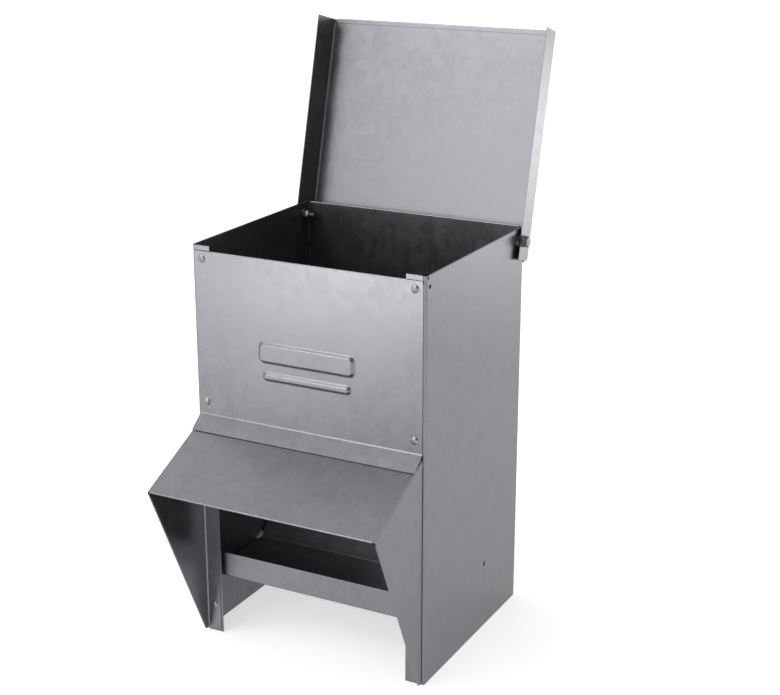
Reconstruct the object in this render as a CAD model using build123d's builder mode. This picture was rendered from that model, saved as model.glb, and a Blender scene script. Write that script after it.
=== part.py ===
"""Hopper feeder of galvanized sheet, in millimetres.

The frame has +X to the right, +Y to the back and +Z up. The origin is at floor level,
in the middle of the body's footprint. The lid stands open, leaning back on its stop.
"""

from build123d import *
from math import cos, radians, sin, tan
import os

os.makedirs("parts", exist_ok=True)

# Sheet and its edges
sheet = 0.8
bend_inside = 1.7
hem_gap = 0.1
hem_depth = 4.5
hem_relief = 1.0

# Body
body_width = 250.0
body_depth = 216.0
body_height = 408.0
front_flange = 20.0
back_flange = 16.0

# Front panel, with its flap over the visor
front_panel_gap = 3.0
front_panel_bottom = 238.0
front_panel_top_gap = 0.3
front_panel_hem = 4.0
flap_length = 20.2
flap_angle = 38.0

# Pressed beads in the front panel
bead_height = 2.6
bead_slope = 45.0
bead_edge_radius = 1.8
wide_bead_size = (104.0, 21.0)
wide_bead_corner = 6.0
wide_bead_above_bend = 73.5
slim_bead_size = (96.0, 9.0)
slim_bead_above_bend = 50.0

# Visor
visor_gap = 2.0
visor_reach = 93.3
visor_below_flap = 1.4
visor_slope = 25.3
visor_foot = 6.6
visor_bottom_z = 2.0
visor_hem = 6.0
visor_flange = 16.0
visor_flange_below_plate = 7.0

# Feed tray with the sloping hopper floor
tray_setback = 6.0
tray_floor_z = 61.2
tray_lip_height = 26.6
tray_lip_hem = 6.0
tray_floor_depth = 104.0
slope_angle = 45.0
slope_top_flange = 15.0
end_flange = 12.0
end_flange_gap = 1.0
end_flange_start = 6.0

# Baffle that holds the feed back above the tray
baffle_flange_above_rivet = 11.5
baffle_flange_below_rivet = 10.5
baffle_foot_setback = 75.0
baffle_foot_above_lip = 27.2
baffle_hem = 6.0

# Rivets
rivet_from_side = 11.0
rivet_radius = 2.0
rivet_head_radius = 4.0
rivet_head_height = 1.5
rivet_crown_radius = 1.8
rivet_tail_radius = 3.0
rivet_tail_length = 2.6
rivet_hole_clearance = 0.05
upper_rivet_below_top = 13.0
lower_rivet_above_bend = 12.5
visor_rivet_from_end = 28.0

# Holes in the side panels
rod_hole_radius = 3.0
rod_hole_behind_tray = 33.0
rod_hole_above_tray = 9.8
latch_hole_radius = 2.25
latch_hole_setback = 6.8
latch_hole_below_top = 11.5

# Lid
lid_side_gap = 1.2
lid_flange_spread = 5.0
lid_flange_depth = 31.0
lid_length = 233.0
lid_lean = 14.5
lid_rear_reach = 21.5
lid_stop_gap = 0.3

# Lid pivots
pivot_from_back = 9.5
pivot_below_top = 13.5
pivot_to_lid = 24.2
running_clearance = 0.08
play = 0.3
bolt_radius = 3.0
bolt_length = 20.0
bolt_end_chamfer = 0.6
hole_clearance = 0.2
thread_clearance = 0.02
hex_flats = 10.0
hex_chamfer = 0.3
hex_chamfer_angle = 60.0
bolt_head_height = 4.0
nut_height = 5.0
washer_radius = 6.0
washer_thickness = 1.6

# Places worked out from the sizes above
bend_outside = bend_inside + sheet
bend_lead = 2 * bend_outside
half_width = body_width / 2
inner_x = half_width - sheet
front_y = -body_depth / 2
back_y = body_depth / 2
hem_fold = hem_gap / 2 + sheet
front_face_y = front_y - sheet
front_panel_top = body_height - hem_depth - front_panel_top_gap
rivet_hole_radius = rivet_radius + rivet_hole_clearance
rivet_drill_depth = 4 * sheet
rivet_x = half_width - rivet_from_side
upper_rivet_z = body_height - upper_rivet_below_top
lower_rivet_z = front_panel_bottom + lower_rivet_above_bend
rod_hole_y = front_y + tray_floor_depth + rod_hole_behind_tray
rod_hole_z = tray_floor_z + rod_hole_above_tray
flap_end_y = front_face_y - flap_length * cos(radians(flap_angle))
flap_end_z = front_panel_bottom - flap_length * sin(radians(flap_angle))
bolt_hole_radius = bolt_radius + hole_clearance
pivot_y = back_y - pivot_from_back
pivot_z = body_height - pivot_below_top
bend_limit_x = inner_x - bend_outside
tan_spread = tan(radians(lid_flange_spread))
cos_spread = cos(radians(lid_flange_spread))

# Slopes and corners of the visor in the side view
visor_half_width = half_width - visor_gap
visor_tan = tan(radians(visor_slope))
visor_back_y = front_y - bend_outside
visor_front_y = front_y - visor_reach
visor_under_flap_z = flap_end_z - visor_below_flap
visor_top = Vector(0, visor_back_y, visor_under_flap_z + (visor_back_y - flap_end_y) * visor_tan)
visor_tip = Vector(0, visor_front_y, visor_under_flap_z - (flap_end_y - visor_front_y) * visor_tan)
visor_flange_top = visor_top.Z - visor_flange_below_plate
visor_upper_rivet_z = visor_flange_top - visor_rivet_from_end
visor_lower_rivet_z = visor_bottom_z + visor_rivet_from_end


def export(builder, name):
    """Label a finished piece and write it under its own name."""
    builder.part.label = name
    export_step(builder.part, f"parts/{name}.step")


def side_plane(x):
    """Plane seen from the feeder's right, with its X to the back and its Y up."""
    return Plane(origin=(x, 0, 0), x_dir=(0, 1, 0), z_dir=(1, 0, 0))


def folded_section(plane, points, side, radius):
    """Section of a folded sheet.

    The line through the points is one face of the sheet, bent at each point with the
    radius. The sheet lies on the given side of that line.
    """
    with BuildSketch(plane) as section:
        with BuildLine():
            FilletPolyline(*points, radius=radius)
            offset(amount=sheet, side=side)
        make_face()
    return section.sketch


def hem_section(origin, fold, edge, depth):
    """Section of a safe edge, where the sheet turns over and lies back on its own face.

    The origin is on that face, level with the finished edge. The sheet folds over in the
    fold direction, and the edge direction points out of the sheet. The section faces
    along fold times edge.
    """
    plane = Plane(origin=origin, x_dir=fold, z_dir=Vector(*fold).cross(Vector(*edge)))
    back_start = (-sheet, -hem_fold)
    leg_start = (hem_gap + sheet, -hem_fold)
    inner_leg_start = (hem_gap, -hem_fold)
    with BuildSketch(plane) as section:
        with BuildLine():
            ThreePointArc(back_start, (hem_gap / 2, 0), leg_start)
            Polyline(leg_start, (hem_gap + sheet, -depth), (hem_gap, -depth), inner_leg_start)
            Polyline(inner_leg_start, (0, -hem_fold), back_start)
        make_face()
    return section.sketch


def end_flange_section(start, run):
    """Section of the flange that turns a sheet's end against the right side panel.

    The start is on the sheet's face outside the bend, at the panel, and the flange runs
    along the run direction. It turns to the side that run times +X points to.
    """
    plane = Plane(origin=start, x_dir=(1, 0, 0), z_dir=run)
    return folded_section(plane, [(-bend_lead, 0), (0, 0), (0, end_flange)], Side.LEFT, bend_outside)


def across(direction):
    """Direction at right angles to one in the side view, turned a quarter towards up from back."""
    return Vector(0, -direction.Z, direction.Y)


def front_holes(heights):
    """Places of the rivet holes through the front sheets, seen from the front."""
    origins = [(x, front_face_y, z) for z in heights for x in (-rivet_x, rivet_x)]
    return [Plane(origin=origin, x_dir=(1, 0, 0), z_dir=(0, -1, 0)) for origin in origins]


def side_hole(y, z):
    """Place of a hole through a side panel, seen from the right."""
    return Plane(origin=(half_width, y, z), x_dir=(0, 1, 0), z_dir=(1, 0, 0))


# Side panels, mirror images of each other

side_section = folded_section(
    Plane.XY,
    [(front_flange - half_width, front_y), (-half_width, front_y), (-half_width, back_y)],
    Side.RIGHT,
    bend_outside,
)
side_hem_start = (-half_width, front_y + bend_outside + hem_relief, body_height)
side_hem = hem_section(side_hem_start, (-1, 0, 0), (0, 0, 1), hem_depth)
flange_hem_start = (front_flange - half_width, front_y, body_height)
flange_hem = hem_section(flange_hem_start, (0, -1, 0), (0, 0, 1), hem_depth)
rivet_heights = [upper_rivet_z, lower_rivet_z, visor_upper_rivet_z, visor_lower_rivet_z]

with BuildPart() as left_side_panel:
    add(side_section)
    extrude(amount=body_height - hem_fold)
    extrude(side_hem, amount=body_depth - bend_outside - hem_relief)
    extrude(flange_hem, amount=front_flange - bend_outside - hem_relief)
    with Locations(front_holes(rivet_heights)):
        Hole(rivet_hole_radius, depth=rivet_drill_depth)
    with Locations(side_hole(rod_hole_y, rod_hole_z)):
        Hole(rod_hole_radius)
    with Locations(side_hole(front_y + latch_hole_setback, body_height - latch_hole_below_top)):
        Hole(latch_hole_radius)
    with Locations(side_hole(pivot_y, pivot_z)):
        Hole(bolt_hole_radius)
export(left_side_panel, "left_side_panel")

with BuildPart() as right_side_panel:
    mirror(left_side_panel.part, about=Plane.YZ)
export(right_side_panel, "right_side_panel")

# Back panel, with side flanges inside the side panels and its hem turned inwards

back_flange_y = back_y - back_flange
back_section = folded_section(
    Plane.XY,
    [(-inner_x, back_flange_y), (-inner_x, back_y), (inner_x, back_y), (inner_x, back_flange_y)],
    Side.RIGHT,
    bend_outside,
)
back_hem = hem_section((0, back_y - sheet, body_height), (0, -1, 0), (0, 0, 1), hem_depth)

with BuildPart() as back_panel:
    add(back_section)
    extrude(amount=body_height - hem_fold)
    extrude(back_hem, amount=bend_limit_x - hem_relief, both=True)
    with Locations(side_hole(pivot_y, pivot_z)):
        Hole(bolt_hole_radius)
export(back_panel, "back_panel")

# Front panel, with its hem turned forwards, two pressed beads and the flap over the visor

front_half_width = half_width - front_panel_gap
front_section = folded_section(
    side_plane(0),
    [
        (front_face_y, front_panel_top - hem_fold),
        (front_face_y, front_panel_bottom),
        (flap_end_y, flap_end_z),
    ],
    Side.LEFT,
    bend_inside,
)
front_hem = hem_section((0, front_face_y, front_panel_top), (0, -1, 0), (0, 0, 1), front_panel_hem)


def bead_sketches(y, inset):
    """Outlines of the two pressed beads at a depth, drawn smaller by the inset."""
    wide_z = front_panel_bottom + wide_bead_above_bend
    slim_z = front_panel_bottom + slim_bead_above_bend
    with BuildSketch(Plane(origin=(0, y, wide_z), x_dir=(1, 0, 0), z_dir=(0, -1, 0))) as wide:
        width, height = wide_bead_size
        RectangleRounded(width - 2 * inset, height - 2 * inset, wide_bead_corner - inset)
    with BuildSketch(Plane(origin=(0, y, slim_z), x_dir=(1, 0, 0), z_dir=(0, -1, 0))) as slim:
        width, height = slim_bead_size
        SlotOverall(width - 2 * inset, height - 2 * inset)
    return [wide.sketch, slim.sketch]


bead_wall_inset = sheet * (1 - sin(radians(bead_slope))) / cos(radians(bead_slope))
bead_outlines = bead_sketches(front_face_y, 0)
bead_hollow_outlines = bead_sketches(front_y, bead_wall_inset)

with BuildPart() as front_panel:
    extrude(front_section, amount=front_half_width, both=True)
    extrude(front_hem, amount=front_half_width, both=True)
    for outline in bead_outlines:
        extrude(outline, amount=bead_height, taper=bead_slope)
        bead_rims = front_panel.edges(Select.LAST).group_by(Axis.Y)
        fillet(bead_rims[0] + bead_rims[-1], radius=bead_edge_radius)
    for outline in bead_hollow_outlines:
        extrude(outline, amount=bead_height, taper=bead_slope, mode=Mode.SUBTRACT)
    with Locations(front_holes([upper_rivet_z, lower_rivet_z])):
        Hole(rivet_hole_radius, depth=rivet_drill_depth)
export(front_panel, "front_panel")

# Visor, one sheet: a sloping plate, two cheeks and the flanges behind them

down_slope = Vector(0, -cos(radians(visor_slope)), -sin(radians(visor_slope)))
below_plate = -across(-down_slope)
cheek_foot = Vector(0, front_y - visor_foot, visor_bottom_z)
cheek_edge = (visor_tip - cheek_foot).normalized()
cheek_inward = -across(cheek_edge)
cheek_outline = [
    visor_top,
    visor_tip + cheek_inward * hem_fold,
    cheek_foot + cheek_inward * hem_fold,
    Vector(0, visor_back_y, visor_bottom_z),
]
channel_section = folded_section(
    Plane(origin=visor_top, x_dir=(1, 0, 0), z_dir=down_slope),
    [
        (-visor_half_width, -visor_top.Z),
        (-visor_half_width, 0),
        (visor_half_width, 0),
        (visor_half_width, -visor_top.Z),
    ],
    Side.RIGHT,
    bend_outside,
)
visor_flange_section = folded_section(
    Plane.XY.offset(visor_bottom_z),
    [
        (visor_half_width - visor_flange, front_y),
        (visor_half_width, front_y),
        (visor_half_width, front_y - bend_lead),
    ],
    Side.RIGHT,
    bend_outside,
)
plate_hem = hem_section(visor_tip + below_plate * sheet, below_plate, down_slope, visor_hem)
cheek_hem_start = cheek_foot + cheek_edge * hem_relief + Vector(visor_half_width - sheet, 0, 0)
cheek_hem_length = (visor_tip - cheek_foot).length - bend_outside - 2 * hem_relief
cheek_hem = hem_section(cheek_hem_start, (-1, 0, 0), -cheek_inward, visor_hem)

with BuildPart() as cheek_edges:
    extrude(visor_flange_section, amount=visor_flange_top - visor_bottom_z)
    extrude(cheek_hem, amount=cheek_hem_length)

with BuildPart() as visor:
    extrude(channel_section, amount=visor_top.Z)
    with BuildSketch(side_plane(0)):
        with BuildLine():
            Polyline(*[(corner.Y, corner.Z) for corner in cheek_outline], close=True)
        make_face()
    extrude(amount=visor_half_width, both=True, mode=Mode.INTERSECT)
    extrude(plate_hem, amount=visor_half_width - bend_outside - hem_relief, both=True)
    add(cheek_edges.part)
    mirror(cheek_edges.part, about=Plane.YZ)
    with Locations(front_holes([visor_upper_rivet_z, visor_lower_rivet_z])):
        Hole(rivet_hole_radius, depth=rivet_drill_depth)
export(visor, "visor")

# Feed tray and sloping hopper floor, one sheet with its ends turned down

tray_front_y = front_y + tray_setback
tray_lip_top = tray_floor_z + tray_lip_height
tray_back = Vector(0, front_y + tray_floor_depth, tray_floor_z)
slope = Vector(0, cos(radians(slope_angle)), sin(radians(slope_angle)))
slope_top = tray_back + slope * ((back_y - sheet - tray_back.Y) / slope.Y)
tray_section = folded_section(
    side_plane(0),
    [
        (tray_front_y, tray_lip_top - hem_fold),
        (tray_front_y, tray_floor_z),
        (tray_back.Y, tray_back.Z),
        (slope_top.Y, slope_top.Z),
        (slope_top.Y, slope_top.Z + slope_top_flange),
    ],
    Side.LEFT,
    bend_outside,
)
tray_hem = hem_section((0, tray_front_y + sheet, tray_lip_top), (0, 1, 0), (0, 0, 1), tray_lip_hem)
floor_flange_start = Vector(inner_x, tray_front_y + end_flange_start, tray_floor_z + sheet)
floor_flange_length = tray_back.Y - tray_front_y - 2 * end_flange_start
slope_flange_start = tray_back + across(slope) * sheet + slope * end_flange_start + Vector(inner_x, 0, 0)
slope_flange_back_y = back_flange_y - end_flange_gap - end_flange * slope.Z
slope_flange_length = (slope_flange_back_y - slope_flange_start.Y) / slope.Y

floor_flange_section = end_flange_section(floor_flange_start, (0, 1, 0))
slope_flange_section = end_flange_section(slope_flange_start, slope)

with BuildPart() as hopper_floor_end:
    extrude(floor_flange_section, amount=floor_flange_length)
    extrude(slope_flange_section, amount=slope_flange_length)

with BuildPart() as hopper_floor:
    extrude(tray_section, amount=bend_limit_x, both=True)
    extrude(tray_hem, amount=bend_limit_x, both=True)
    add(hopper_floor_end.part)
    mirror(hopper_floor_end.part, about=Plane.YZ)
export(hopper_floor, "hopper_floor")

# Baffle behind the front panel, one sheet that slopes down towards the hopper floor

baffle_bend = Vector(0, front_y + sheet, lower_rivet_z - baffle_flange_below_rivet)
baffle_foot = Vector(0, front_y + baffle_foot_setback, tray_lip_top + baffle_foot_above_lip)
baffle_down = (baffle_foot - baffle_bend).normalized()
baffle_end = baffle_foot - baffle_down * hem_fold
baffle_section = folded_section(
    side_plane(0),
    [
        (baffle_bend.Y, lower_rivet_z + baffle_flange_above_rivet),
        (baffle_bend.Y, baffle_bend.Z),
        (baffle_end.Y, baffle_end.Z),
    ],
    Side.LEFT,
    bend_outside,
)
baffle_hem_section = hem_section(baffle_foot, -across(baffle_down), baffle_down, baffle_hem)
baffle_flange_clearance = bend_inside + end_flange_gap
baffle_flange_lead = (baffle_flange_clearance - (end_flange - sheet) * baffle_down.Z) / baffle_down.Y
baffle_face = baffle_bend + across(baffle_down) * sheet
baffle_flange_start = baffle_face + baffle_down * baffle_flange_lead + Vector(inner_x, 0, 0)
baffle_flange_section = end_flange_section(baffle_flange_start, baffle_down)
baffle_flange_length = (baffle_foot - baffle_bend).length - baffle_flange_lead - baffle_hem - hem_relief

with BuildPart() as baffle_side:
    extrude(baffle_flange_section, amount=baffle_flange_length)

with BuildPart() as flow_baffle:
    extrude(baffle_section, amount=bend_limit_x, both=True)
    extrude(baffle_hem_section, amount=bend_limit_x, both=True)
    add(baffle_side.part)
    mirror(baffle_side.part, about=Plane.YZ)
    with Locations(front_holes([lower_rivet_z])):
        Hole(rivet_hole_radius, depth=rivet_drill_depth)
export(flow_baffle, "flow_baffle")

# Lid, one sheet with splayed side flanges, a hem in front and a stop lip behind the pivots

pivot = Vector(0, pivot_y, pivot_z)
lid_along = Vector(0, sin(radians(lid_lean)), cos(radians(lid_lean)))
lid_outward = Vector(0, cos(radians(lid_lean)), -sin(radians(lid_lean)))
lid_face = pivot_to_lid + sheet
lid_flange_x = half_width + lid_side_gap + sheet / cos_spread
lid_corner_x = lid_flange_x - sheet * tan_spread
lid_edge_x = lid_flange_x + lid_flange_depth * tan_spread
lid_front = lid_length - lid_rear_reach
lid_stop_reach = (pivot_from_back + lid_rear_reach * lid_along.Y + lid_stop_gap) / lid_along.Z
lid_section = folded_section(
    Plane(origin=pivot, x_dir=(1, 0, 0), z_dir=lid_along),
    [
        (-lid_edge_x, pivot_to_lid - lid_flange_depth),
        (-lid_corner_x, lid_face),
        (lid_corner_x, lid_face),
        (lid_edge_x, pivot_to_lid - lid_flange_depth),
    ],
    Side.RIGHT,
    bend_outside,
)
lid_stop_section = folded_section(
    Plane(origin=pivot, x_dir=lid_outward, z_dir=(1, 0, 0)),
    [
        (lid_face, bend_lead - lid_rear_reach),
        (lid_face, -lid_rear_reach),
        (lid_stop_reach, -lid_rear_reach),
    ],
    Side.RIGHT,
    bend_outside,
)
lid_hem = hem_section(
    pivot + lid_outward * pivot_to_lid + lid_along * lid_front, -lid_outward, lid_along, hem_depth
)
lid_fold_x = lid_corner_x - bend_outside - hem_relief

with BuildPart() as lid:
    extrude(lid_section, amount=lid_front - hem_fold)
    extrude(lid_section, amount=bend_outside - lid_rear_reach)
    extrude(lid_stop_section, amount=lid_fold_x, both=True)
    extrude(lid_hem, amount=lid_fold_x, both=True)
    with Locations(side_hole(pivot_y, pivot_z)):
        Hole(bolt_radius + running_clearance)
export(lid, "lid")

# Blind rivets, all alike except for the thickness that they clamp


def rivet_profile(plane, grip):
    """Half section of a set rivet, with its axis on the plane's Y and its head above Y 0."""
    with BuildSketch(plane) as profile:
        with BuildLine():
            Polyline(
                (0, rivet_head_height),
                (rivet_crown_radius, rivet_head_height),
                (rivet_head_radius, 0),
                (rivet_radius, 0),
                (rivet_radius, -grip),
                (rivet_tail_radius, -grip),
                (rivet_radius, -grip - rivet_tail_length),
                (0, -grip - rivet_tail_length),
                close=True,
            )
        make_face()
    return profile.sketch


rivet_rows = [
    ("front_upper_rivet", upper_rivet_z, 2),
    ("front_lower_rivet", lower_rivet_z, 3),
    ("visor_upper_rivet", visor_upper_rivet_z, 2),
    ("visor_lower_rivet", visor_lower_rivet_z, 2),
]
sides = [("left", -1), ("right", 1)]

for row_name, rivet_z, sheets_clamped in rivet_rows:
    grip = sheets_clamped * sheet
    for side_name, side in sides:
        rivet_place = (side * rivet_x, front_face_y, rivet_z)
        rivet_half = rivet_profile(Plane(origin=rivet_place, x_dir=(1, 0, 0), z_dir=(0, 0, -1)), grip)
        with BuildPart() as rivet:
            add(rivet_half)
            revolve(axis=Axis(rivet_place, (0, -1, 0)))
        export(rivet, f"{side_name}_{row_name}")

# Lid pivots, each a bolt from outside with washers, a spacer and a nut inside the body

flange_inner_x = half_width + lid_side_gap + pivot_to_lid * tan_spread
flange_outer_x = flange_inner_x + sheet / cos_spread
washer_standoff = washer_radius * tan_spread + play
spacer_outer_x = flange_inner_x - washer_standoff
head_washer_x = flange_outer_x + washer_standoff
bolt_seat_x = head_washer_x + washer_thickness
nut_washer_x = inner_x - sheet - washer_thickness
nut_x = nut_washer_x - nut_height


def pivot_plane(x, side):
    """Plane on a pivot's axis at a distance from the middle, facing out on its side."""
    return Plane(origin=(side * x, pivot_y, pivot_z), x_dir=(0, side, 0), z_dir=(side, 0, 0))


def hex_block(seat_x, end_x, side):
    """Hexagonal block from its seat to its free end, where the corners are turned off."""
    toward_seat = Plane(pivot_plane(end_x, side).origin, z_dir=(side * (seat_x - end_x), 0, 0))
    with BuildPart() as block:
        with BuildSketch(pivot_plane(seat_x, side)):
            RegularPolygon(hex_flats / 2, 6, major_radius=False)
        extrude(amount=end_x - seat_x)
        with BuildSketch(toward_seat):
            Circle(hex_flats / 2 - hex_chamfer)
        extrude(amount=abs(end_x - seat_x), taper=-hex_chamfer_angle, mode=Mode.INTERSECT)
    return block.part


def ring(inner_face_x, outer_face_x, side):
    """Flat washer or spacer between two distances from the middle."""
    with BuildPart() as washer:
        with BuildSketch(pivot_plane(inner_face_x, side)):
            Circle(washer_radius)
            Circle(bolt_hole_radius, mode=Mode.SUBTRACT)
        extrude(amount=outer_face_x - inner_face_x)
    return washer


for side_name, side in sides:
    bolt_head = hex_block(bolt_seat_x, bolt_seat_x + bolt_head_height, side)
    nut_block = hex_block(nut_washer_x, nut_x, side)
    with BuildPart() as bolt:
        add(bolt_head)
        with BuildSketch(pivot_plane(bolt_seat_x, side)):
            Circle(bolt_radius)
        extrude(amount=-bolt_length)
        chamfer(bolt.edges().sort_by(Axis.X)[-1 if side < 0 else 0], length=bolt_end_chamfer)
    export(bolt, f"{side_name}_hinge_bolt")
    with BuildPart() as nut:
        add(nut_block)
        with Locations(pivot_plane(nut_washer_x, side)):
            Hole(bolt_radius + thread_clearance)
    export(nut, f"{side_name}_hinge_nut")
    export(ring(head_washer_x, bolt_seat_x, side), f"{side_name}_hinge_head_washer")
    export(ring(half_width, spacer_outer_x, side), f"{side_name}_hinge_spacer")
    export(ring(nut_washer_x, inner_x - sheet, side), f"{side_name}_hinge_inner_washer")
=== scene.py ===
"""Looks of a galvanized hopper feeder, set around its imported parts.

Everything is in metres in the parts' own frame: +X to the right, +Y to the back, +Z up.
"""

import math

import bpy
import numpy as np
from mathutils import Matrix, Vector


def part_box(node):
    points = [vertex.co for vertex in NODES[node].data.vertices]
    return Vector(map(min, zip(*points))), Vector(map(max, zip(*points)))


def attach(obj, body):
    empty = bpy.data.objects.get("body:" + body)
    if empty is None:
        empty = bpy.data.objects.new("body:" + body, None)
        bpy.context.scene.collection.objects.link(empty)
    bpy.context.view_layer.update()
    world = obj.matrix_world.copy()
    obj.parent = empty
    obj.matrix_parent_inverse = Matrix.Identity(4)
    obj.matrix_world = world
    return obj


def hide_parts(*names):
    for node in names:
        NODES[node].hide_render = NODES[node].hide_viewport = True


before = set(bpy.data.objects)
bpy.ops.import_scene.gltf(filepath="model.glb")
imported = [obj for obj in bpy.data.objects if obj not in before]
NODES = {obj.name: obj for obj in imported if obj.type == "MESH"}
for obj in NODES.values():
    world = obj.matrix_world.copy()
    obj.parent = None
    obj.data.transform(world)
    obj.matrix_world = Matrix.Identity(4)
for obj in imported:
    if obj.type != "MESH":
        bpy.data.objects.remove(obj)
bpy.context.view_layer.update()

bl_info = {
    "name": "Galvanized hopper feeder",
    "version": (1, 0, 0),
    "blender": (4, 5, 0),
    "location": "View3D > Sidebar > Feeder",
    "description": "Rivets, hinge bolts, zinc finishes and stage of a hopper feeder",
    "category": "Object",
}

SIDES = (("left", -1.0), ("right", 1.0))
SHEETS = (
    "left_side_panel",
    "right_side_panel",
    "back_panel",
    "front_panel",
    "visor",
    "hopper_floor",
    "flow_baffle",
    "lid",
)

# Rows of rivets, and the thickness of sheet that each row holds
RIVET_ROWS = (
    ("front_upper", 0.0016),
    ("front_lower", 0.0024),
    ("visor_upper", 0.0016),
    ("visor_lower", 0.0016),
)
RIVET_HEAD_HEIGHT = 0.0015
# Widest radius of a rivet's tail, in shank radii
RIVET_TAIL_SWELL = 1.5
BOLT_HEAD_HEIGHT = 0.004
BOLT_SHANK_RADIUS = 0.003
# Angles in degrees past which an edge stays sharp
RIVET_CREASE = 40.0
BOLT_CREASE = 25.0

# Middle of every pattern, and the share that lies midway between two shades
MIDDLE = 0.5
# Zinc crystals: fineness against the mean crystal, weight, and the channel that is read
CRYSTALS = ((1.0, 0.6, "Red"), (2.3, 0.4, "Green"))
# Noise: features a metre, for the lines before their stretch, and detail
ZINC_NOISE = {
    "clouds": (7.0, 4.0),
    "drift": (28.0, 5.0),
    "grain": (900.0, 2.0),
    "ripple": (9.0, 1.0),
    "dimple": (70.0, 0.0),
}
WARP_NOISE = (60.0, 2.0)
LINE_NOISE = (1.0, 3.0)
# Stretch of the rolling lines, and how far in metres the warp bends the crystals
LINE_STRETCH = (260.0, 260.0, 3.0)
WARP_REACH = (0.006, 0.006, 0.006)
# How much each pattern changes the colour and the roughness
ZINC_COLOUR_WEIGHTS = {"clouds": 0.35, "drift": 0.3, "lines": 0.3, "grain": 0.15}
ZINC_ROUGH_WEIGHTS = {"spangle": 0.08, "clouds": 0.08, "drift": 0.05, "lines": 0.05}
ZINC_SHADES = (0.86, 1.14)
ZINC_BUMP = {"Strength": 0.35, "Distance": 0.0016}
DIMPLE_SHARE = 0.03
# Shift and turn of the patterns from one sheet to the next
SHEET_SHIFT = (0.37, 0.61, 0.23)
SHEET_TURN = 0.4

# Metals of the small hardware: roughness, and features a metre
METALS = {
    "rivet_metal": (0.36, 260.0),
    "bolt_zinc": (0.34, 180.0),
    "nut_zinc": (0.36, 210.0),
    "washer_zinc": (0.4, 240.0),
}
# Noise on them: fineness against the metal's own, and detail
METAL_NOISE = {"mottle": (1.0, 4.0), "scuff": (5.0, 3.0)}
METAL_COLOUR_WEIGHTS = {"mottle": 1.3, "scuff": 0.7}
METAL_ROUGH_WEIGHTS = {"mottle": 0.16, "scuff": 0.1}
METAL_SHADES = (0.78, 1.16)
METAL_BUMP = {"Strength": 0.25, "Distance": 0.0002}

# Width of the camera's frame in millimetres, and how far in metres it sees
SENSOR_WIDTH = 36.0
CAMERA_REACH = 100.0
FLOOR_GREY = 0.8
# Lamps: name, setting of the power, place, what it looks at, and length of the sides
LAMPS = (
    ("key_lamp", "key_power", (-0.75, -2.5, 1.0), (0.0, 0.0, 0.35), 1.3),
    ("rim_lamp", "rim_power", (-0.9, -1.48, 1.92), (0.0, 0.0, 0.32), 0.5),
)
# The world's light and its dark flag: which way each lies, and between which shares of
# the way there it rises from none to all
RISE_AIM, RISE_SPAN = (-0.6, -0.3, 0.74), (0.1, 0.9)
FLAG_AIM, FLAG_SPAN = (0.51, -0.78, 0.37), (0.55, 0.95)
# Patches that the metal sees on the floor: setting, centre, inner and outer radius
FLOOR_POOLS = (
    ("front_shade", (-0.42, -1.05, 0.0), 0.5, 0.9),
    ("side_shade", (0.5, 0.7, 0.0), 0.9, 1.6),
    ("front_pool", (-0.7, -1.58, 0.0), 0.0, 0.62),
    ("near_pool", (-0.5, -0.78, 0.0), 0.05, 0.35),
    ("back_pool", (1.2, 2.9, 0.0), 0.2, 2.2),
)


# Surfaces


def surface_of_rings(name, rings):
    """Closed mesh through rings of points, with a pole at each end.

    rings[i, j] is the point of ring i at turn j. Ring i is joined to ring i + 1 by one
    four-sided face a step, and the first and the last ring close on their own mean point.
    The turns run anticlockwise, seen from beyond the first ring, so the faces point outwards.
    """
    count, steps = rings.shape[:2]
    poles = np.stack([rings[0].mean(axis=0), rings[-1].mean(axis=0)])
    points = np.concatenate([rings.reshape(-1, 3), poles])
    turn = np.arange(steps)
    after = np.roll(turn, -1)
    row = np.arange(count - 1)[:, None] * steps
    quads = np.stack([row + turn, row + steps + turn, row + steps + after, row + after], axis=-1)
    last = (count - 1) * steps
    start_fan = np.stack([turn, after, np.full(steps, count * steps)], axis=-1)
    end_fan = np.stack([last + after, last + turn, np.full(steps, count * steps + 1)], axis=-1)
    faces = quads.reshape(-1, 4).tolist() + start_fan.tolist() + end_fan.tolist()
    mesh = bpy.data.meshes.new(name)
    mesh.from_pydata(points.tolist(), [], faces)
    mesh.validate()
    mesh.update()
    piece = bpy.data.objects.new(name, mesh)
    bpy.context.scene.collection.objects.link(piece)
    return piece


def shade_smooth(piece, crease_degrees):
    """Smooth shading that stays sharp where two faces meet at more than the crease angle."""
    mesh = piece.data
    mesh.polygons.foreach_set("use_smooth", np.ones(len(mesh.polygons), dtype=bool))
    mesh.set_sharp_from_angle(angle=math.radians(crease_degrees))


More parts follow.
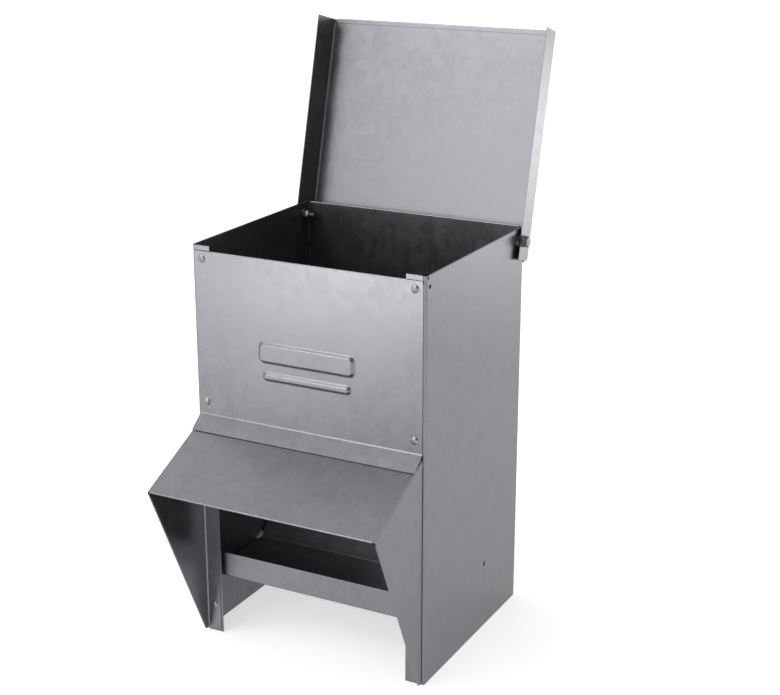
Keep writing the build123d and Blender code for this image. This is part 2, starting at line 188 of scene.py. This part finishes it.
def rivet_rings(centre, head, shank_radius, grip, tail, steps):
    """Rings of a set blind rivet whose head looks to -Y. Head and tail are radius and length.

    The head is a dome on a low rim: its height over the rim falls from the crown as
    1 - (r / head radius) ^ 2.4. A round well in the crown holds the broken end of the
    mandrel. Behind the sheets the tail swells to its radius as a half sine over the first
    four fifths of its length.
    """
    head_radius, head_height = head
    tail_radius, tail_length = tail
    well = 0.26 * head_radius
    stub = 0.6 * well
    rim = 0.12 * head_height
    across = (np.linspace(1.0, well / head_radius, 14) * head_radius)[::-1]
    dome = rim + (head_height - rim) * (1.0 - (across / head_radius) ** 2.4)
    crown = dome[0]
    well_floor = crown - 0.62 * head_height
    along = np.linspace(0.0, 1.0, 12)[1:-1]
    swell = np.sin(np.pi * np.clip(along * 1.25, 0, 1))
    profile = [
        (0.3 * stub, crown - 0.25 * head_height),
        (stub, crown - 0.3 * head_height),
        (1.02 * stub, well_floor),
        (well, well_floor),
        (well, crown - 0.04 * head_height),
        *zip(across[1:], dome[1:]),
        (head_radius, 0.0),
        (shank_radius, 0.0),
        (shank_radius, -grip),
        *zip(shank_radius + (tail_radius - shank_radius) * swell, -grip - tail_length * along),
        (0.5 * shank_radius, -grip - tail_length),
    ]
    radius, height = np.array(profile).T
    angle = np.linspace(0.0, 2.0 * np.pi, steps, endpoint=False)
    x = centre[0] + radius[:, None] * np.cos(angle)
    y = centre[1] - np.repeat(height[:, None], steps, axis=1)
    z = centre[2] + radius[:, None] * np.sin(angle)
    return np.stack([x, y, z], axis=-1)


def bolt_rings(seat, side, flats, head_height, shank_radius, length, pitch, steps):
    """Rings of a hex bolt on an axis along X, from its head's face to its shank's end.

    A hexagon with the distance flats across them has the radius
    flats / 2 / cos(angle to the nearest flat), and the head's two faces are turned to
    cones. After a plain neck under the head, the shank's radius falls by the thread's depth
    times the triangle wave of way / pitch - turn, and at its end it runs out on a cone.
    """
    angle = np.linspace(0.0, 2.0 * np.pi, steps, endpoint=False)
    to_flat = np.abs((angle + np.pi / 6.0) % (np.pi / 3.0) - np.pi / 6.0)
    hexagon = flats / 2.0 / np.cos(to_flat)
    face = 0.46 * flats
    cone = np.linspace(0.0, 0.13, 4)
    top = np.minimum(hexagon, face + cone[:, None] * flats * 1.2)
    top_height = head_height * (1.0 - cone * 0.7)
    sides = np.stack([hexagon, hexagon, np.minimum(hexagon, face + 0.09 * flats)])
    side_height = np.array([top_height[-1] - 0.12 * head_height, 0.1 * head_height, 0.0])
    rows_a_turn = 8
    way = np.linspace(0.0, 1.0, int(length / pitch * rows_a_turn)) * length
    neck = 1.2 * pitch
    run_out = 0.8 * pitch
    begun = np.clip((way - neck) / pitch, 0.0, 1.0)[:, None]
    ended = np.clip((way - (length - run_out)) / run_out, 0.0, 1.0)[:, None]
    wave = (way[:, None] / pitch - angle / (2.0 * np.pi)) % 1.0
    triangle = np.abs(2.0 * wave - 1.0)
    thread = shank_radius - begun * 0.55 * pitch * triangle - ended * 0.35 * pitch
    radius = np.concatenate([np.full((1, steps), 0.4 * face), top, sides, thread])
    height = np.concatenate([[head_height], top_height, side_height, -way])
    x = seat[0] + side * np.repeat(height[:, None], steps, axis=1)
    y = seat[1] + side * radius * np.cos(angle)
    z = seat[2] + radius * np.sin(angle)
    return np.stack([x, y, z], axis=-1)


# Finishes


class Field:
    """A shader value: a socket whose arithmetic adds Math nodes to its tree."""

    def __init__(self, tree, socket):
        self.tree = tree
        self.socket = socket

    def math(self, operation, *values):
        """Field of a Math node on the given values."""
        node = self.tree.nodes.new("ShaderNodeMath")
        node.operation = operation
        for socket, value in zip(node.inputs, values):
            plug(self.tree, socket, value)
        return Field(self.tree, node.outputs[0])

    def __add__(self, other):
        return self.math("ADD", self, other)

    def __sub__(self, other):
        return self.math("SUBTRACT", self, other)

    def __rsub__(self, other):
        return self.math("SUBTRACT", other, self)

    def __mul__(self, other):
        return self.math("MULTIPLY", self, other)

    __radd__ = __add__
    __rmul__ = __mul__

    def at_least(self, least):
        """The value where it lies above a least one, and else the least one."""
        return self.math("MAXIMUM", self, least)

    def between(self, low, high):
        """0 below low and 1 above high, with a smooth step from one to the other."""
        return add_node(
            self.tree,
            "ShaderNodeMapRange",
            {"interpolation_type": "SMOOTHSTEP"},
            Value=self,
            From_Min=low,
            From_Max=high,
        )


def plug(tree, socket, value):
    """Link a Field to a socket, or write a plain value on it."""
    if isinstance(value, Field):
        tree.links.new(value.socket, socket)
    else:
        socket.default_value = value


def fill(tree, node, **inputs):
    """Link or write a node's inputs by name, with _ for a space.

    An input named In_0, In_1 and so on is taken by its number, where names repeat.
    """
    for name, value in inputs.items():
        key = int(name[3:]) if name.startswith("In_") else name.replace("_", " ")
        plug(tree, node.inputs[key], value)


def add_node(tree, kind, settings=None, output=0, **inputs):
    """Add a node, its settings first and then its inputs, and give one output as a Field."""
    node = tree.nodes.new(kind)
    for key, value in (settings or {}).items():
        setattr(node, key, value)
    fill(tree, node, **inputs)
    return Field(tree, node.outputs[output])


def vector_math(tree, operation, output, *vectors, **inputs):
    """A Vector Math node's output, from its vectors in turn and its other inputs by name."""
    numbered = {f"In_{index}": vector for index, vector in enumerate(vectors)}
    settings = {"operation": operation}
    return add_node(tree, "ShaderNodeVectorMath", settings, output, **numbered, **inputs)


def mix_colours(tree, share, first, second):
    """Colour between two colours by a share from 0 to 1, from the Mix node's colour sockets."""
    settings = {"data_type": "RGBA", "blend_type": "MIX"}
    return add_node(tree, "ShaderNodeMix", settings, 2, In_0=share, In_6=first, In_7=second)


def noise(tree, place, scale, detail, output=0):
    """Noise on a place, as a value from 0 to 1 or as the output that is named."""
    inputs = {"Vector": place, "Scale": scale, "Detail": detail}
    return add_node(tree, "ShaderNodeTexNoise", None, output, **inputs)


def cells(tree, place, scale, channel):
    """One random value for each cell of a Voronoi pattern."""
    colours = add_node(tree, "ShaderNodeTexVoronoi", None, "Color", Vector=place, Scale=scale)
    return add_node(tree, "ShaderNodeSeparateColor", None, channel, Color=colours)


def vary(centre, patterns, weights):
    """A centre value, plus each pattern's distance from its middle times its weight."""
    for name, weight in weights.items():
        centre = (patterns[name] - MIDDLE) * weight + centre
    return centre


def shade(colour, factor):
    """Colour made darker or lighter by a factor."""
    red, green, blue = colour
    return (red * factor, green * factor, blue * factor, 1.0)


def grey(level):
    """Colour of a neutral grey."""
    return (level, level, level, 1.0)


def between_shades(tree, share, colour, factors):
    """Colour between a darker and a lighter shade of one colour, by a share from 0 to 1."""
    dark, light = [shade(colour, factor) for factor in factors]
    return mix_colours(tree, share.between(0.0, 1.0), dark, light)


def new_tree(name):
    """New material's empty tree with its Principled shader, ready for its inputs."""
    material = bpy.data.materials.new(name)
    material.use_nodes = True
    tree = material.node_tree
    shader = tree.nodes["Principled BSDF"]
    return material, tree, shader


def zinc_sheet(name, finish, shift, turn):
    """Hot-dip zinc on sheet: faint crystals, soft clouds, rolling lines and a fine grain.

    The shift and turn place the patterns, so that no two sheets match.
    """
    material, tree, shader = new_tree(name)
    place = add_node(tree, "ShaderNodeTexCoord", None, "Object")
    moved = {"Vector": place, "Location": shift}
    ground = add_node(tree, "ShaderNodeMapping", **moved, Rotation=(0.0, 0.0, turn))
    rolled = add_node(tree, "ShaderNodeMapping", **moved, Scale=LINE_STRETCH)
    warp = noise(tree, ground, *WARP_NOISE, "Color")
    bent = vector_math(tree, "MULTIPLY_ADD", "Vector", warp, WARP_REACH, ground)
    patterns = {key: noise(tree, ground, *values) for key, values in ZINC_NOISE.items()}
    patterns["lines"] = noise(tree, rolled, *LINE_NOISE)
    patterns["spangle"] = sum(
        cells(tree, bent, fineness / finish.crystal_size, channel) * weight
        for fineness, weight, channel in CRYSTALS
    )
    colour_weights = {"spangle": finish.crystal_contrast, **ZINC_COLOUR_WEIGHTS}
    share = vary(MIDDLE, patterns, colour_weights)
    rough = vary(finish.sheet_roughness, patterns, ZINC_ROUGH_WEIGHTS)
    relief = patterns["ripple"] + patterns["dimple"] * DIMPLE_SHARE
    fill(
        tree,
        shader,
        Base_Color=between_shades(tree, share, finish.sheet_colour, ZINC_SHADES),
        Roughness=rough.at_least(finish.least_roughness),
        Normal=add_node(tree, "ShaderNodeBump", **ZINC_BUMP, Height=relief),
        Metallic=finish.sheet_metallic,
    )
    return material


def turned_metal(name, colour):
    """Plated or drawn metal of the small hardware: mottled, scuffed and finely grained."""
    roughness, scale = METALS[name]
    material, tree, shader = new_tree(name)
    place = add_node(tree, "ShaderNodeTexCoord", None, "Object")
    patterns = {
        key: noise(tree, place, fineness * scale, detail)
        for key, (fineness, detail) in METAL_NOISE.items()
    }
    share = vary(MIDDLE, patterns, METAL_COLOUR_WEIGHTS)
    fill(
        tree,
        shader,
        Base_Color=between_shades(tree, share, colour, METAL_SHADES),
        Roughness=vary(roughness, patterns, METAL_ROUGH_WEIGHTS),
        Normal=add_node(tree, "ShaderNodeBump", **METAL_BUMP, Height=patterns["scuff"]),
        Metallic=1.0,
    )
    return material


def wear(piece, material):
    """Give a piece one material in all its slots."""
    slots = piece.data.materials
    if len(slots) == 0:
        slots.append(material)
    for index in range(len(slots)):
        slots[index] = material


# Settings


class FeederFinish(bpy.types.PropertyGroup):
    """Colours and roughness of the zinc sheet and the small hardware."""

    sheet_colour: bpy.props.FloatVectorProperty(
        name="Sheet colour",
        description="Mean base colour of the zinc sheet",
        default=(0.25, 0.246, 0.265),
        min=0.0,
        max=1.0,
        subtype="COLOR",
    )
    sheet_roughness: bpy.props.FloatProperty(
        name="Sheet roughness",
        description="Mean roughness of the zinc sheet",
        default=0.325,
        min=0.1,
        max=0.9,
        subtype="FACTOR",
    )
    least_roughness: bpy.props.FloatProperty(
        name="Least roughness",
        description="Roughness below which no spot of the zinc sheet falls",
        default=0.285,
        min=0.1,
        max=0.9,
        subtype="FACTOR",
    )
    sheet_metallic: bpy.props.FloatProperty(
        name="Sheet metallic",
        description="Metallic share of the zinc sheet under its dull film",
        default=0.94,
        min=0.0,
        max=1.0,
        subtype="FACTOR",
    )
    crystal_size: bpy.props.FloatProperty(
        name="Crystal size",
        description="Mean size of the zinc crystals",
        default=0.009,
        min=0.002,
        max=0.05,
        unit="LENGTH",
    )
    crystal_contrast: bpy.props.FloatProperty(
        name="Crystal contrast",
        description="How clearly the crystals stand out",
        default=0.35,
        min=0.0,
        max=1.5,
    )
    hardware_colour: bpy.props.FloatVectorProperty(
        name="Hardware colour",
        description="Mean base colour of bolts, nuts and washers",
        default=(0.24, 0.238, 0.245),
        min=0.0,
        max=1.0,
        subtype="COLOR",
    )
    rivet_colour: bpy.props.FloatVectorProperty(
        name="Rivet colour",
        description="Mean base colour of the rivets",
        default=(0.33, 0.328, 0.335),
        min=0.0,
        max=1.0,
        subtype="COLOR",
    )


class FeederFasteners(bpy.types.PropertyGroup):
    """Sizes of the fasteners' shaped surfaces."""

    thread_pitch: bpy.props.FloatProperty(
        name="Thread pitch",
        description="Rise of the hinge bolts' thread in one turn",
        default=0.001,
        min=0.0005,
        max=0.002,
        unit="LENGTH",
    )
    rivet_shank: bpy.props.FloatProperty(
        name="Rivet shank",
        description="Radius of the rivets' shanks",
        default=0.002,
        min=0.001,
        max=0.003,
        unit="LENGTH",
    )
    steps: bpy.props.IntProperty(
        name="Steps round",
        description="Faces round each rivet and bolt",
        default=60,
        min=12,
        max=180,
    )


class FeederStage(bpy.types.PropertyGroup):
    """Camera, lamps, world and floor."""

    camera_place: bpy.props.FloatVectorProperty(
        name="Camera place",
        description="Where the camera stands",
        default=(0.71283, -1.29499, 0.77040),
        subtype="TRANSLATION",
        unit="LENGTH",
    )
    camera_turn: bpy.props.FloatProperty(
        name="Camera turn",
        description="How far the camera is turned to the left of the back direction",
        default=math.radians(27.75),
        subtype="ANGLE",
    )
    camera_tilt: bpy.props.FloatProperty(
        name="Camera tilt",
        description="How far the camera looks down",
        default=math.radians(17.93),
        subtype="ANGLE",
    )
    camera_lens: bpy.props.FloatProperty(
        name="Camera lens",
        description="Focal length in millimetres for a 36 mm wide frame",
        default=71.77,
        min=10.0,
        max=300.0,
    )
    floor_size: bpy.props.FloatProperty(
        name="Floor size",
        description="Length of the floor's sides",
        default=16.0,
        min=2.0,
        max=60.0,
        unit="LENGTH",
    )
    key_power: bpy.props.FloatProperty(
        name="Key lamp",
        description="Power of the large lamp in front on the left",
        default=8.6,
        min=0.0,
        max=2000.0,
        unit="POWER",
    )
    rim_power: bpy.props.FloatProperty(
        name="Rim lamp",
        description="Power of the small high lamp that draws bright lines on bends and rims",
        default=11.5,
        min=0.0,
        max=2000.0,
        unit="POWER",
    )
    world_low: bpy.props.FloatProperty(
        name="World low",
        description="Light from the world's dim side, on the right",
        default=0.3,
        min=0.0,
        max=3.0,
    )
    world_high: bpy.props.FloatProperty(
        name="World high",
        description="Light from the world's bright side, on the left",
        default=1.0,
        min=0.0,
        max=3.0,
    )
    world_flag: bpy.props.FloatProperty(
        name="World flag",
        description="Share of white that the dark flag takes off in reflections",
        default=0.9,
        min=0.0,
        max=1.0,
    )
    floor_glow: bpy.props.FloatProperty(
        name="Floor whiteness",
        description="Light that the floor adds for the camera and in reflections",
        default=0.62,
        min=0.0,
        max=2.0,
    )
    front_shade: bpy.props.FloatProperty(
        name="Front shade",
        description="Light taken off the floor in front, where the front panel mirrors it",
        default=-0.66,
        min=-2.0,
        max=0.0,
    )
    side_shade: bpy.props.FloatProperty(
        name="Side shade",
        description="Light taken off the floor near the right side, where the side mirrors it",
        default=-0.22,
        min=-2.0,
        max=0.0,
    )
    front_pool: bpy.props.FloatProperty(
        name="Front pool",
        description="Light of the bright patch on the floor, seen in the front panel's top",
        default=8.5,
        min=0.0,
        max=20.0,
    )
    near_pool: bpy.props.FloatProperty(
        name="Near pool",
        description="Light of the small patch on the floor, seen low in the front panel",
        default=0.6,
        min=0.0,
        max=20.0,
    )
    back_pool: bpy.props.FloatProperty(
        name="Back pool",
        description="Light of the far patch on the floor, seen in the lid's right flange",
        default=1.9,
        min=0.0,
        max=20.0,
    )


# Pieces


class FEEDER_OT_rivets(bpy.types.Operator):
    """Set domed blind rivets in place of the plain ones"""

    bl_idname = "feeder.rivets"
    bl_label = "Blind rivets"

    def execute(self, context):
        sizes = context.scene.feeder_fasteners
        finish = context.scene.feeder_finish
        material = turned_metal("rivet_metal", finish.rivet_colour)
        for row, grip in RIVET_ROWS:
            for side, _ in SIDES:
                node = f"{side}_{row}_rivet"
                low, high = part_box(node)
                head = ((high.x - low.x) / 2.0, RIVET_HEAD_HEIGHT)
                tail_length = high.y - low.y - RIVET_HEAD_HEIGHT - grip
                tail = (RIVET_TAIL_SWELL * sizes.rivet_shank, tail_length)
                seat_y = low.y + RIVET_HEAD_HEIGHT
                centre = ((low.x + high.x) / 2.0, seat_y, (low.z + high.z) / 2.0)
                rings = rivet_rings(centre, head, sizes.rivet_shank, grip, tail, sizes.steps)
                piece = surface_of_rings(f"{node}_set", rings)
                shade_smooth(piece, RIVET_CREASE)
                wear(piece, material)
                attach(piece, "body")
                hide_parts(node)
        return {"FINISHED"}


class FEEDER_OT_hinge_bolts(bpy.types.Operator):
    """Put threaded hex bolts in place of the plain ones"""

    bl_idname = "feeder.hinge_bolts"
    bl_label = "Hinge bolts"

    def execute(self, context):
        sizes = context.scene.feeder_fasteners
        finish = context.scene.feeder_finish
        material = turned_metal("bolt_zinc", finish.hardware_colour)
        for side, sign in SIDES:
            node = f"{side}_hinge_bolt"
            low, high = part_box(node)
            outer = high.x if sign > 0 else low.x
            seat_x = outer - sign * BOLT_HEAD_HEIGHT
            rings = bolt_rings(
                (seat_x, (low.y + high.y) / 2.0, (low.z + high.z) / 2.0),
                sign,
                high.z - low.z,
                BOLT_HEAD_HEIGHT,
                BOLT_SHANK_RADIUS,
                high.x - low.x - BOLT_HEAD_HEIGHT,
                sizes.thread_pitch,
                2 * sizes.steps,
            )
            piece = surface_of_rings(f"{node}_threaded", rings)
            shade_smooth(piece, BOLT_CREASE)
            wear(piece, material)
            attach(piece, "body")
            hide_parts(node)
        return {"FINISHED"}


class FEEDER_OT_hinge_hardware(bpy.types.Operator):
    """Finish the hinge nuts, washers and spacers"""

    bl_idname = "feeder.hinge_hardware"
    bl_label = "Nuts and washers"

    def execute(self, context):
        finish = context.scene.feeder_finish
        nut_metal = turned_metal("nut_zinc", finish.hardware_colour)
        washer_metal = turned_metal("washer_zinc", finish.hardware_colour)
        for side, _ in SIDES:
            wear(NODES[f"{side}_hinge_nut"], nut_metal)
            for kind in ("head_washer", "inner_washer", "spacer"):
                wear(NODES[f"{side}_hinge_{kind}"], washer_metal)
        return {"FINISHED"}


class FEEDER_OT_sheets(bpy.types.Operator):
    """Finish every folded sheet in zinc"""

    bl_idname = "feeder.sheets"
    bl_label = "Zinc sheets"

    def execute(self, context):
        finish = context.scene.feeder_finish
        for index, node in enumerate(SHEETS):
            shift = tuple(step * index for step in SHEET_SHIFT)
            turn = SHEET_TURN * index
            wear(NODES[node], zinc_sheet(f"zinc_{node}", finish, shift, turn))
        return {"FINISHED"}


class FEEDER_OT_stage(bpy.types.Operator):
    """Set up the pale floor, the soft lamps and the camera"""

    bl_idname = "feeder.stage"
    bl_label = "Stage"

    def execute(self, context):
        scene = context.scene
        stage = scene.feeder_stage
        add_floor(stage)
        light_world(scene, stage)
        for name, setting, place, target, side in LAMPS:
            add_lamp(name, place, target, side, getattr(stage, setting))
        add_camera(scene, stage)
        scene.view_settings.view_transform = "Standard"
        return {"FINISHED"}


# Stage


def ray_kinds(tree):
    """Three values that are 1 for the camera's, for mirrored and for refracted rays."""
    kinds = ("Is Camera Ray", "Is Glossy Ray", "Is Transmission Ray")
    return [add_node(tree, "ShaderNodeLightPath", None, kind) for kind in kinds]


def soft_patch(tree, place, centre, inner, outer):
    """Round patch round a centre, 1 within the inner radius and 0 beyond the outer one."""
    distance = vector_math(tree, "DISTANCE", "Value", place, centre)
    return 1.0 - distance.between(inner, outer)


def add_floor(stage):
    """Square pale floor that glows white for the camera and in soft patches for the metal."""
    half = stage.floor_size / 2.0
    mesh = bpy.data.meshes.new("floor")
    corners = [(-half, -half, 0.0), (half, -half, 0.0), (half, half, 0.0), (-half, half, 0.0)]
    mesh.from_pydata(corners, [], [(0, 1, 2, 3)])
    floor = bpy.data.objects.new("floor", mesh)
    bpy.context.scene.collection.objects.link(floor)
    material, tree, shader = new_tree("floor_white")
    camera, glossy, glass = ray_kinds(tree)
    place = add_node(tree, "ShaderNodeTexCoord", None, "Object")
    mirrored = stage.floor_glow
    for setting, centre, inner, outer in FLOOR_POOLS:
        patch = soft_patch(tree, place, centre, inner, outer)
        mirrored = patch * getattr(stage, setting) + mirrored
    glow = (camera + glass) * stage.floor_glow + glossy * mirrored.at_least(0.0)
    fill(
        tree,
        shader,
        Base_Color=grey(FLOOR_GREY),
        Roughness=1.0,
        Specular_IOR_Level=0.0,
        Emission_Color=vector_math(tree, "SCALE", "Vector", (1.0, 1.0, 1.0), Scale=glow),
        Emission_Strength=1.0,
    )
    wear(floor, material)


def toward(tree, direction, aim):
    """How far a direction points along an aim, from -1 to 1."""
    return vector_math(tree, "DOT_PRODUCT", "Value", direction, aim)


def light_world(scene, stage):
    """Soft light that rises from low on the right to high on the upper left.

    The camera sees plain white where it looks past the floor. So do reflections, apart from
    a soft dark flag in front on the right, which the lid's left flange mirrors.
    """
    world = bpy.data.worlds.new("studio")
    world.use_nodes = True
    tree = world.node_tree
    camera, glossy, glass = ray_kinds(tree)
    direction = add_node(tree, "ShaderNodeTexCoord", None, "Generated")
    rise = toward(tree, direction, RISE_AIM).between(*RISE_SPAN)
    level = rise * (stage.world_high - stage.world_low) + stage.world_low
    flag = toward(tree, direction, FLAG_AIM).between(*FLAG_SPAN) * stage.world_flag
    white = camera + glass
    seen = white + glossy * (1.0 - flag) + (1.0 - white - glossy).at_least(0.0) * level
    colour = mix_colours(tree, seen, grey(0.0), grey(1.0))
    fill(tree, tree.nodes["Background"], Color=colour, Strength=1.0)
    scene.world = world


def add_lamp(name, place, target, side, power):
    """Square area lamp that looks at a target and that the camera doesn't see."""
    lamp = bpy.data.lights.new(name, "AREA")
    lamp.shape = "SQUARE"
    lamp.size = side
    lamp.energy = power
    holder = bpy.data.objects.new(name, lamp)
    holder.location = place
    right, back, up = np.subtract(target, place)
    tilt = math.atan2(math.hypot(right, back), -up)
    holder.rotation_euler = (tilt, 0.0, math.atan2(back, right) - math.pi / 2.0)
    holder.visible_camera = False
    bpy.context.scene.collection.objects.link(holder)


def add_camera(scene, stage):
    """Camera of the photograph's view."""
    camera = bpy.data.cameras.new("camera")
    camera.sensor_fit = "HORIZONTAL"
    camera.sensor_width = SENSOR_WIDTH
    camera.lens = stage.camera_lens
    camera.clip_end = CAMERA_REACH
    holder = bpy.data.objects.new("camera", camera)
    holder.location = stage.camera_place
    holder.rotation_euler = (math.pi / 2.0 - stage.camera_tilt, 0.0, stage.camera_turn)
    scene.collection.objects.link(holder)
    scene.camera = holder


# Panel and registration


class FEEDER_PT_panel(bpy.types.Panel):
    """Settings and steps of the feeder"""

    bl_idname = "FEEDER_PT_panel"
    bl_label = "Hopper feeder"
    bl_space_type = "VIEW_3D"
    bl_region_type = "UI"
    bl_category = "Feeder"

    def draw(self, context):
        for operator in OPERATORS:
            self.layout.operator(operator.bl_idname)
        for name, _ in GROUPS:
            settings = getattr(context.scene, name)
            box = self.layout.box()
            for key in settings.__annotations__:
                box.prop(settings, key)


GROUPS = (
    ("feeder_finish", FeederFinish),
    ("feeder_fasteners", FeederFasteners),
    ("feeder_stage", FeederStage),
)
OPERATORS = (
    FEEDER_OT_rivets,
    FEEDER_OT_hinge_bolts,
    FEEDER_OT_hinge_hardware,
    FEEDER_OT_sheets,
    FEEDER_OT_stage,
)


def register():
    for name, group in GROUPS:
        bpy.utils.register_class(group)
        setattr(bpy.types.Scene, name, bpy.props.PointerProperty(type=group))
    for operator in OPERATORS:
        bpy.utils.register_class(operator)
    bpy.utils.register_class(FEEDER_PT_panel)


def unregister():
    bpy.utils.unregister_class(FEEDER_PT_panel)
    for operator in reversed(OPERATORS):
        bpy.utils.unregister_class(operator)
    for name, group in reversed(GROUPS):
        delattr(bpy.types.Scene, name)
        bpy.utils.unregister_class(group)


def main():
    """Make every piece and the stage."""
    register()
    bpy.ops.feeder.rivets()
    bpy.ops.feeder.hinge_bolts()
    bpy.ops.feeder.hinge_hardware()
    bpy.ops.feeder.sheets()
    bpy.ops.feeder.stage()


if __name__ == "__main__":
    main()
